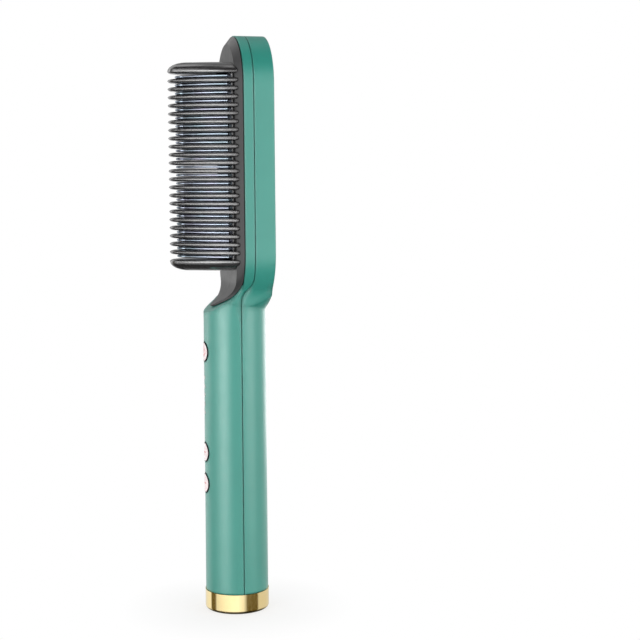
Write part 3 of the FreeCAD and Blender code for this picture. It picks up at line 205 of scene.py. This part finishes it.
class Surface(Nodes):
    """A procedural material with its main shader and short ways to build its patterns."""

    def __init__(self, name):
        self.material = bpy.data.materials.new(name)
        self.material.use_nodes = True
        super().__init__(self.material.node_tree)
        self.shader = self.tree.nodes["Principled BSDF"]
        self.place = self.add("ShaderNodeTexCoord").outputs["Object"]

    def set(self, **values):
        for name, value in values.items():
            self.feed(self.shader.inputs[name.replace("_", " ")], value)

    def noise(self, scale, detail=SOFT_DETAIL, place=None):
        texture = self.add("ShaderNodeTexNoise")
        self.feed(texture.inputs["Vector"], place or self.place)
        texture.inputs["Scale"].default_value = scale
        texture.inputs["Detail"].default_value = detail
        return texture.outputs["Fac"]

    def lines(self, scale, stretch):
        """Noise drawn out along the axes whose share in stretch is small."""
        mapping = self.add("ShaderNodeMapping")
        self.feed(mapping.inputs["Vector"], self.place)
        mapping.inputs["Scale"].default_value = stretch
        return self.noise(scale, FINE_DETAIL, mapping.outputs["Vector"])

    def bump(self, height, strength, distance, edge_round=None):
        """Raised pattern, on edges that look rounded by the given radius."""
        made = self.add("ShaderNodeBump")
        self.feed(made.inputs["Height"], height)
        made.inputs["Strength"].default_value = strength
        made.inputs["Distance"].default_value = distance
        if edge_round is not None:
            edge = self.add("ShaderNodeBevel", samples=EDGE_SAMPLES)
            self.feed(edge.inputs["Radius"], edge_round)
            self.feed(made.inputs["Normal"], edge.outputs["Normal"])
        return made.outputs["Normal"]

    def axes(self):
        split = self.add("ShaderNodeSeparateXYZ")
        self.feed(split.inputs[0], self.place)
        return split.outputs

    def drifting(self, colours, scale=DRIFT_SCALE):
        """Colour that drifts slowly between two tones."""
        return self.mix(self.spread(self.noise(scale)), *colours)

    def uneven_gloss(self, rough, scale=GLOSS_SCALE):
        self.set(Roughness=self.spread(self.noise(scale), *rough))

    def grain(self, scale, strength, edge_round=None, depth=GRAIN_DEPTH):
        self.set(Normal=self.bump(self.noise(scale, FINE_DETAIL), strength, depth, edge_round))

    def polished(self, lines, rough, strength, depth, edge_round=None):
        """Metal whose gloss and surface show the fine lines that polishing left."""
        self.set(Metallic=1.0, Roughness=self.spread(lines, *rough))
        self.set(Normal=self.bump(lines, strength, depth, edge_round))


def dress(surface, *names):
    for name in names:
        nodes[name].data.materials.clear()
        nodes[name].data.materials.append(surface.material)


def moulded_plastic(name, colours, rough, grain_scale, grain, edge_round=None):
    """Moulded plastic: slow colour drift, uneven gloss, fine grain and, where given, softened edges."""
    surface = Surface(name)
    surface.set(Base_Color=surface.drifting(colours))
    surface.uneven_gloss(rough)
    surface.grain(grain_scale, grain, edge_round)
    return surface


# Visible materials

def casing():
    surface = Surface("casing_green")
    surface.set(Base_Color=surface.drifting(CASING_GREEN))
    surface.uneven_gloss(rough=(0.38, 0.44))
    neck = surface.math("ABSOLUTE", surface.math("SUBTRACT", surface.axes()["Z"], NECK_HEIGHT))
    edge_round = surface.spread(neck, NECK_EDGE_ROUND, CASING_EDGE_ROUND, NECK_NEAR, NECK_FAR)
    surface.grain(scale=2600.0, strength=0.06, edge_round=edge_round)
    surface.set(IOR=1.85, Coat_Weight=0.5, Coat_Roughness=0.36)
    dress(surface, "front_shell", "rear_shell")


def gold_cap():
    surface = Surface("gold_plating")
    surface.set(Base_Color=surface.drifting(GOLD, scale=60.0))
    lines = surface.lines(scale=900.0, stretch=(1.0, 1.0, 0.05))
    surface.polished(lines, rough=(0.08, 0.13), strength=0.04, depth=FINE_DEPTH)
    dress(surface, "end_cap")


def champagne_trim():
    """Satin champagne metal with painted light: near white as a painted highlight, through tan, to a deep
    gold painted shade round the frame.
    """
    surface = Surface("champagne_metal")
    low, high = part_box("trim_frame")
    x, _, z = surface.axes()
    # painted light: one side of the frame paler and the other deeper, most strongly at the bottom; the noise
    # adds random drift
    rise = surface.spread(z, low=1.0, high=0.3, start=low.z, end=high.z)
    tone = surface.math("MULTIPLY", surface.math("DIVIDE", x, high.x), rise)
    tone = surface.math("ADD", tone, surface.spread(surface.noise(scale=60.0, detail=1.0), -0.06, 0.06))
    deep = surface.mix(surface.spread(tone, start=-0.9, end=0.0), CHAMPAGNE_PAINTED_SHADE, CHAMPAGNE)
    pale = surface.mix(surface.spread(tone, start=0.15, end=0.95), deep, CHAMPAGNE_PAINTED_HIGHLIGHT)
    # painted highlight along the frame's top
    crest_highlight = surface.spread(z, high=0.85, start=high.z - CREST_HIGHLIGHT_START, end=high.z - CREST_HIGHLIGHT_END)
    surface.set(Base_Color=surface.mix(crest_highlight, pale, CHAMPAGNE_PAINTED_HIGHLIGHT))
    lines = surface.lines(scale=1400.0, stretch=(1.0, 1.0, 0.03))
    surface.polished(lines, rough=(0.18, 0.25), strength=0.05, depth=LINE_DEPTH)
    dress(surface, "trim_frame")


def back_panel():
    """Deep green panel with a painted reflection that pales it towards its long sides."""
    surface = Surface("panel_gloss_green")
    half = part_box("back_panel")[1].x
    off_middle = surface.math("ABSOLUTE", surface.axes()["X"])
    # painted reflection: the panel pales towards its long sides
    side = surface.spread(off_middle, start=PANEL_REFLECTION_FROM * half, end=PANEL_REFLECTION_TO * half,
                          kind="SMOOTHSTEP")
    surface.set(Base_Color=surface.mix(side, surface.drifting(PANEL_GREEN), PANEL_PAINTED_REFLECTION), IOR=1.3)
    surface.uneven_gloss(rough=(0.16, 0.22))
    surface.grain(scale=900.0, strength=0.03)
    dress(surface, "back_panel")


def bezel():
    surface = moulded_plastic("bezel_grey", BEZEL_GREY, rough=(0.34, 0.44), grain_scale=3000.0, grain=0.12)
    surface.set(Coat_Weight=0.25, Coat_Roughness=0.3)
    dress(surface, "comb_bezel")


def guard():
    surface = moulded_plastic("guard_black", GUARD_BLACK, rough=(0.20, 0.26), grain_scale=1800.0, grain=0.02,
                              edge_round=GUARD_EDGE_ROUND)
    surface.set(IOR=2.4, Coat_Weight=0.6, Coat_Roughness=0.16)
    dress(surface, "guard_comb")


def fins():
    """Bluish coated metal whose tint drifts towards violet and teal."""
    surface = Surface("fin_coating")
    tint = surface.spread(surface.lines(scale=120.0, stretch=(0.6, 1.0, 1.6)))
    cool = surface.mix(tint, FIN_BLUE, FIN_VIOLET)
    patch = surface.spread(surface.noise(scale=85.0, detail=1.0), high=0.8)
    surface.set(Base_Color=surface.mix(patch, cool, FIN_TEAL))
    lines = surface.lines(scale=1500.0, stretch=(1.0, 0.08, 1.0))
    surface.polished(lines, rough=(0.26, 0.34), strength=0.015, depth=LINE_DEPTH, edge_round=FIN_EDGE_ROUND)
    dress(surface, "heat_comb")


def lenses():
    surface = moulded_plastic("lens_clear", LENS_CLEAR, rough=(0.08, 0.14), grain_scale=1200.0, grain=0.02)
    surface.set(Transmission_Weight=0.45, IOR=1.49)
    dress(surface, "indicator_lenses")


# Buttons

def face_place(surface, node):
    """Distances to the right of, above and away from the middle of a button's face."""
    low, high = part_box(node)
    x, _, z = surface.axes()
    up = surface.math("SUBTRACT", z, (low.z + high.z) / 2)
    square = surface.math("ADD", surface.math("MULTIPLY", x, x), surface.math("MULTIPLY", up, up))
    return x, up, surface.math("SQRT", square)


def bar(surface, long_way, thin_way):
    inside = surface.math("LESS_THAN", thin_way, ICON_HALF_LINE)
    return surface.math("MULTIPLY", inside, surface.math("LESS_THAN", long_way, ICON_REACH))


def power_sign(surface, across, up, out):
    """A ring that is open at the top, with a stem in the opening."""
    off_ring = surface.math("ABSOLUTE", surface.math("SUBTRACT", out, ICON_REACH))
    opening = surface.math("MULTIPLY", surface.math("GREATER_THAN", up, 0.0),
                           surface.math("LESS_THAN", across, RING_OPENING))
    ring = surface.math("MULTIPLY", surface.math("LESS_THAN", off_ring, ICON_HALF_LINE),
                        surface.math("SUBTRACT", 1.0, opening))
    stem = surface.math("MULTIPLY", surface.math("LESS_THAN", across, ICON_HALF_LINE),
                        surface.math("GREATER_THAN", up, STEM_FOOT))
    stem = surface.math("MULTIPLY", stem, surface.math("LESS_THAN", up, STEM_TOP))
    return surface.math("MAXIMUM", ring, stem)


def icon_mask(surface, icon, x, up, out):
    """Share of the sign's ink at a point of the button's face."""
    across = surface.math("ABSOLUTE", x)
    if icon == "power":
        return power_sign(surface, across, up, out)
    along = surface.math("ABSOLUTE", up)
    level = bar(surface, across, along)
    if icon == "minus":
        return level
    return surface.math("MAXIMUM", level, bar(surface, along, across))


def buttons():
    """Pale buttons, each with its sign and a dark line round its edge."""
    for icon in ("power", "plus", "minus"):
        node = icon + "_button"
        surface = Surface(node)
        x, up, out = face_place(surface, node)
        ink = icon_mask(surface, icon, x, up, out)
        marked = surface.mix(ink, surface.drifting(BUTTON_PALE, scale=180.0), ICON_RED)
        rim = surface.spread(out, start=RIM_INSIDE, end=RIM_FULL)
        surface.set(Base_Color=surface.mix(rim, marked, BUTTON_RIM))
        surface.uneven_gloss(rough=(0.30, 0.38), scale=500.0)
        surface.grain(scale=3500.0, strength=0.08, depth=FINE_DEPTH)
        dress(surface, node)


# Materials of the inner pieces

def inner_metal():
    surface = Surface("bright_steel")
    lines = surface.lines(scale=1600.0, stretch=(1.0, 1.0, 0.06))
    surface.set(Base_Color=surface.mix(surface.spread(lines), *STEEL))
    surface.polished(lines, rough=(0.26, 0.40), strength=0.06, depth=FINE_DEPTH)
    dress(surface, "clamp_plate", "clamp_screws", "case_screws", "board_screws", "thermal_fuse",
          "battery_tabs", "charge_socket")


def inner_plastics():
    board = moulded_plastic("board_lacquer", BOARD_GREEN, rough=(0.25, 0.35), grain_scale=1500.0, grain=0.06)
    dress(board, "control_board", "charge_board")
    black = moulded_plastic("component_black", CHIP_BLACK, rough=(0.45, 0.6), grain_scale=2500.0, grain=0.15)
    dress(black, "control_chip", "power_transistor", "switch_bodies", "battery_cradle")
    white = moulded_plastic("component_white", PART_WHITE, rough=(0.3, 0.4), grain_scale=2500.0, grain=0.08)
    dress(white, "power_plunger", "plus_plunger", "minus_plunger", "indicator_leds")
    ceramic = moulded_plastic("heater_ceramic", CERAMIC, rough=(0.35, 0.5), grain_scale=1800.0, grain=0.12)
    dress(ceramic, "heater_plates")
    film = moulded_plastic("amber_film", FILM_AMBER, rough=(0.18, 0.26), grain_scale=700.0, grain=0.05)
    dress(film, "heater_film")
    fibre = moulded_plastic("shield_fibre", FIBRE_WHITE, rough=(0.6, 0.75), grain_scale=1100.0, grain=0.3)
    dress(fibre, "heat_shield")
    bead = moulded_plastic("sensor_bead", BEAD_BROWN, rough=(0.12, 0.2), grain_scale=900.0, grain=0.04)
    dress(bead, "thermistor")
    sleeve = moulded_plastic("lead_sleeve", LEAD_RED, rough=(0.4, 0.5), grain_scale=2200.0, grain=0.1)
    dress(sleeve, "heater_leads", "sensor_leads", "charge_leads")
    cell = moulded_plastic("cell_sleeve", CELL_BLUE, rough=(0.22, 0.3), grain_scale=1200.0, grain=0.05)
    dress(cell, "battery_cell")


# Stage

def floor_material():
    """White that takes a shadow near the foot and looks like the backdrop farther out."""
    material = bpy.data.materials.new("floor_white")
    material.use_nodes = True
    white = Nodes(material.node_tree)
    white.tree.nodes.clear()
    distance = white.add("ShaderNodeVectorMath", operation="LENGTH")
    white.feed(distance.inputs[0], white.add("ShaderNodeTexCoord").outputs["Object"])
    veil = white.spread(distance.outputs["Value"], SHADOW_VEIL, 1.0, SHADOW_NEAR, SHADOW_FAR)
    seen = white.math("MULTIPLY", veil, white.add("ShaderNodeLightPath").outputs["Is Camera Ray"])
    shade = white.add("ShaderNodeBsdfDiffuse")
    white.feed(shade.inputs["Color"], FLOOR_WHITE)
    mixed = white.either(seen, shade.outputs[0], white.add("ShaderNodeEmission").outputs[0])
    white.feed(white.add("ShaderNodeOutputMaterial").inputs["Surface"], mixed)
    return material


def add_floor():
    bpy.ops.mesh.primitive_plane_add(size=FLOOR_SIDE, location=(0, 0, -FLOOR_DROP))
    floor = bpy.context.object
    floor.name = "floor"
    floor.data.materials.append(floor_material())
    floor.visible_glossy = False


def softbox(name, bearing, height, distance, width, tall, power):
    """Soft lamp at a bearing from the camera's direction, positive to the camera's right."""
    turn = math.radians(bearing)
    lamp = bpy.data.objects.new(name, bpy.data.lights.new(name, "AREA"))
    bpy.context.scene.collection.objects.link(lamp)
    lamp.data.shape = "RECTANGLE"
    lamp.data.size = width
    lamp.data.size_y = tall
    lamp.data.energy = power
    aside = TOWARDS_CAMERA * math.cos(turn) + CAMERA_RIGHT * math.sin(turn)
    lamp.location = aside * distance + Vector((0, 0, height))
    lamp.rotation_euler = (BRUSH_MIDDLE - lamp.location).to_track_quat("-Z", "Y").to_euler()
    return lamp


def add_lights():
    softbox("key_left", bearing=-41, height=0.22, distance=0.9, width=0.56, tall=0.8, power=4.2)
    softbox("fill_right", bearing=58, height=0.20, distance=0.9, width=0.60, tall=0.8, power=2.7)
    softbox("comb_side", bearing=-118, height=0.30, distance=0.9, width=0.4, tall=0.6, power=1.3)
    softbox("back", bearing=150, height=0.20, distance=0.9, width=0.6, tall=0.6, power=2.2)
    top = softbox("top", bearing=150, height=1.0, distance=0.2, width=0.6, tall=0.6, power=1.7)
    low = softbox("low", bearing=42, height=0.06, distance=0.8, width=0.6, tall=0.1, power=0.8)
    top.visible_glossy = False
    low.visible_glossy = False


class Room(Nodes):
    """The room round the brush, as its reflections show it."""

    def __init__(self, tree):
        super().__init__(tree)
        split = self.add("ShaderNodeSeparateXYZ")
        self.feed(split.inputs[0], self.add("ShaderNodeTexCoord").outputs["Generated"])
        self.height = split.outputs["Z"]
        turn = self.math("ARCTAN2", split.outputs["Y"], split.outputs["X"])
        share = self.math("MULTIPLY_ADD", turn, 1 / (2 * math.pi), 0.5 + FRONT_TURN / (2 * math.pi))
        self.bearing = self.math("FRACT", share)

    def ramp(self, share, stops):
        """Brightness or colour that runs through the stops as the share grows."""
        made = self.add("ShaderNodeValToRGB")
        self.feed(made.inputs["Fac"], share)
        elements = made.color_ramp.elements
        while len(elements) < len(stops):
            elements.new(0.5)
        for element, (place, tone) in zip(elements, stops):
            colour = tone if isinstance(tone, tuple) else (tone, tone, tone)
            element.position = place
            element.color = (*colour, 1.0)
        return made.outputs["Color"]

    def by_bearing(self, belt):
        return self.ramp(self.bearing, [(0.5 + bearing / 360, tone) for bearing, tone in belt])

    def by_height(self, span):
        """Share that grows from 0 to 1 between two heights of the direction."""
        return self.spread(self.height, start=span[0], end=span[1])

    def colour(self):
        """Three belts, darker straight above and below, and bright again high up behind the brush."""
        comb_and_handle = self.mix(self.by_height(COMB_TO_HANDLE), self.by_bearing(COMB_BELT),
                                   self.by_bearing(HANDLE_BELT))
        around = self.mix(self.by_height(HANDLE_TO_CAP), comb_and_handle, self.by_bearing(CAP_BELT))
        steepness = self.ramp(self.math("ABSOLUTE", self.height), STEEPNESS)
        room = self.mix(1.0, around, steepness, "MULTIPLY")
        high = self.mix(self.by_height(HIGH_START), BLACK, self.by_bearing(HIGH_BEHIND))
        return self.mix(1.0, room, high, "LIGHTEN")

    def background(self, colour, strength=1.0):
        made = self.add("ShaderNodeBackground")
        self.feed(made.inputs["Color"], colour)
        made.inputs["Strength"].default_value = strength
        return made.outputs[0]


def add_world():
    """White to the camera, the room to reflections, and plain light to the rest."""
    world = bpy.data.worlds.new("studio")
    bpy.context.scene.world = world
    world.use_nodes = True
    world.node_tree.nodes.clear()
    room = Room(world.node_tree)
    rays = room.add("ShaderNodeLightPath").outputs
    shiny = room.math("MAXIMUM", rays["Is Glossy Ray"], rays["Is Transmission Ray"])
    light = room.either(shiny, room.background(WHITE, PLAIN_LIGHT), room.background(room.colour()))
    seen = room.either(rays["Is Camera Ray"], light, room.background(WHITE))
    room.feed(room.add("ShaderNodeOutputWorld").inputs["Surface"], seen)


bpy.context.scene.view_settings.view_transform = "Standard"
add_camera()
add_floor()
add_lights()
add_world()
casing()
gold_cap()
champagne_trim()
back_panel()
bezel()
guard()
fins()
buttons()
lenses()
inner_metal()
inner_plastics()
